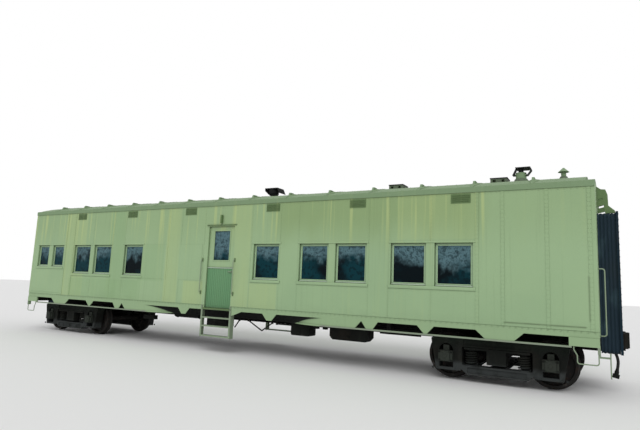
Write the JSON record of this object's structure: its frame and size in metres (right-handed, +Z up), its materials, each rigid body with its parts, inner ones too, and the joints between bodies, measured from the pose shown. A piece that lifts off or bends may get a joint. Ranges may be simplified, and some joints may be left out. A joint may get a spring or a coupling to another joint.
{
  "type": "troop sleeper car",
  "caption": "Long steel railway sleeping car with swivelling trucks, turning wheelsets, split side doors, end doors, gangway bellows and couplers.",
  "frame": {"origin": "bottom centre of the car, on the floor under the wheel flanges", "axes": "+X along the car to its right end in the picture, -Y the side in the picture, +Z up"},
  "size_m": [16.52, 3.02, 4.1768],
  "materials": {
    "side_green": "weathered satin paint, streaked",
    "roof_green": "weathered satin paint",
    "vent_green": "weathered satin paint",
    "frame_green": "satin paint",
    "door_green": "satin paint on boards",
    "step_green": "worn satin paint",
    "underframe_black": "dusty matt paint",
    "hood_black": "matt paint",
    "diaphragm_steel": "matt paint",
    "diaphragm_fabric": "coated canvas, matt",
    "truck_black": "dusty cast steel",
    "spring_steel": "dusty spring steel",
    "wheel_steel": "rusted wheel, worn tread",
    "cast_steel": "rusty cast steel",
    "hose_rubber": "matt",
    "floor_boards": "worn boards",
    "window_glass": "dark, reflecting"
  },
  "bodies": {
    "car": {"centre_sill": "underframe_black", "crossbearers": "underframe_black", "floor": "floor_boards", "side_frame_near": "side_green", "side_frame_far": "side_green", "side_wall_near": "side_green", "side_wall_far": "side_green", "end_wall_right": "side_green", "end_wall_left": "side_green", "roof": "roof_green", "eave_vents": "vent_green", "roof_vents": "vent_green", "roof_hood": "hood_black", "roof_stacks": "vent_green", "window_frames": "frame_green", "window_glass": "window_glass", "wall_battens": "side_green", "door_fittings": "step_green", "side_steps": "step_green", "stirrup_steps": "step_green", "grab_irons": "step_green", "equipment_boxes": "underframe_black", "brake_gear": "underframe_black", "underfloor_rods": "underframe_black", "angle_cocks": "underframe_black", "uncoupling_levers": "step_green", "couplers": "cast_steel", "diaphragms": "diaphragm_fabric", "face_plates": "diaphragm_steel", "diaphragm_arms": "diaphragm_steel", "brake_hose_right": "hose_rubber", "brake_hose_left": "hose_rubber", "gladhand_right": "cast_steel", "gladhand_left": "cast_steel"},
    "truck_right": {"truck_frame_right": "truck_black", "truck_bolster_right": "truck_black", "truck_springs_right": "spring_steel", "journal_boxes_right": "truck_black", "truck_brakes_right": "truck_black"},
    "axle_right_outer": {"wheelset_right_outer": "wheel_steel"},
    "axle_right_inner": {"wheelset_right_inner": "wheel_steel"},
    "truck_left": {"truck_frame_left": "truck_black", "truck_bolster_left": "truck_black", "truck_springs_left": "spring_steel", "journal_boxes_left": "truck_black", "truck_brakes_left": "truck_black"},
    "axle_left_outer": {"wheelset_left_outer": "wheel_steel"},
    "axle_left_inner": {"wheelset_left_inner": "wheel_steel"},
    "lower_leaf_near": {"side_door_lower_near": "door_green"},
    "upper_leaf_near": {"side_door_upper_near": "frame_green", "side_door_glass_near": "window_glass"},
    "lower_leaf_far": {"side_door_lower_far": "door_green"},
    "upper_leaf_far": {"side_door_upper_far": "frame_green", "side_door_glass_far": "window_glass"},
    "end_leaf_right": {"end_door_right": "door_green", "end_door_glass_right": "window_glass"},
    "end_leaf_left": {"end_door_left": "door_green", "end_door_glass_left": "window_glass"}
  },
  "joints": [
    {"name": "truck_right_swivel", "type": "hinge", "parent": "car", "child": "truck_right", "pos_m": [6.13, 0, 0.693], "axis": [0, 0, 1], "range_deg": [-8, 8]},
    {"name": "axle_right_outer_roll", "type": "hinge", "parent": "truck_right", "child": "axle_right_outer", "pos_m": [7.045, 0, 0.447], "axis": [0, 1, 0], "continuous": true},
    {"name": "axle_right_inner_roll", "type": "hinge", "parent": "truck_right", "child": "axle_right_inner", "pos_m": [5.215, 0, 0.447], "axis": [0, 1, 0], "continuous": true},
    {"name": "truck_left_swivel", "type": "hinge", "parent": "car", "child": "truck_left", "pos_m": [-6.13, 0, 0.693], "axis": [0, 0, 1], "range_deg": [-8, 8]},
    {"name": "axle_left_outer_roll", "type": "hinge", "parent": "truck_left", "child": "axle_left_outer", "pos_m": [-7.045, 0, 0.447], "axis": [0, 1, 0], "continuous": true},
    {"name": "axle_left_inner_roll", "type": "hinge", "parent": "truck_left", "child": "axle_left_inner", "pos_m": [-5.215, 0, 0.447], "axis": [0, 1, 0], "continuous": true},
    {"name": "lower_leaf_near_hinge", "type": "hinge", "parent": "car", "child": "lower_leaf_near", "pos_m": [-0.64, -1.342, 1.5], "axis": [0, 0, 1], "range_deg": [0, 95]},
    {"name": "upper_leaf_near_hinge", "type": "hinge", "parent": "car", "child": "upper_leaf_near", "pos_m": [-0.64, -1.342, 2.5], "axis": [0, 0, 1], "range_deg": [0, 95]},
    {"name": "lower_leaf_far_hinge", "type": "hinge", "parent": "car", "child": "lower_leaf_far", "pos_m": [-0.64, 1.342, 1.5], "axis": [0, 0, -1], "range_deg": [0, 95]},
    {"name": "upper_leaf_far_hinge", "type": "hinge", "parent": "car", "child": "upper_leaf_far", "pos_m": [-0.64, 1.342, 2.5], "axis": [0, 0, -1], "range_deg": [0, 95]},
    {"name": "end_leaf_right_hinge", "type": "hinge", "parent": "car", "child": "end_leaf_right", "pos_m": [7.722, 0.395, 2], "axis": [0, 0, -1], "range_deg": [0, 95]},
    {"name": "end_leaf_left_hinge", "type": "hinge", "parent": "car", "child": "end_leaf_left", "pos_m": [-7.722, -0.395, 2], "axis": [0, 0, -1], "range_deg": [0, 95]}
  ]
}
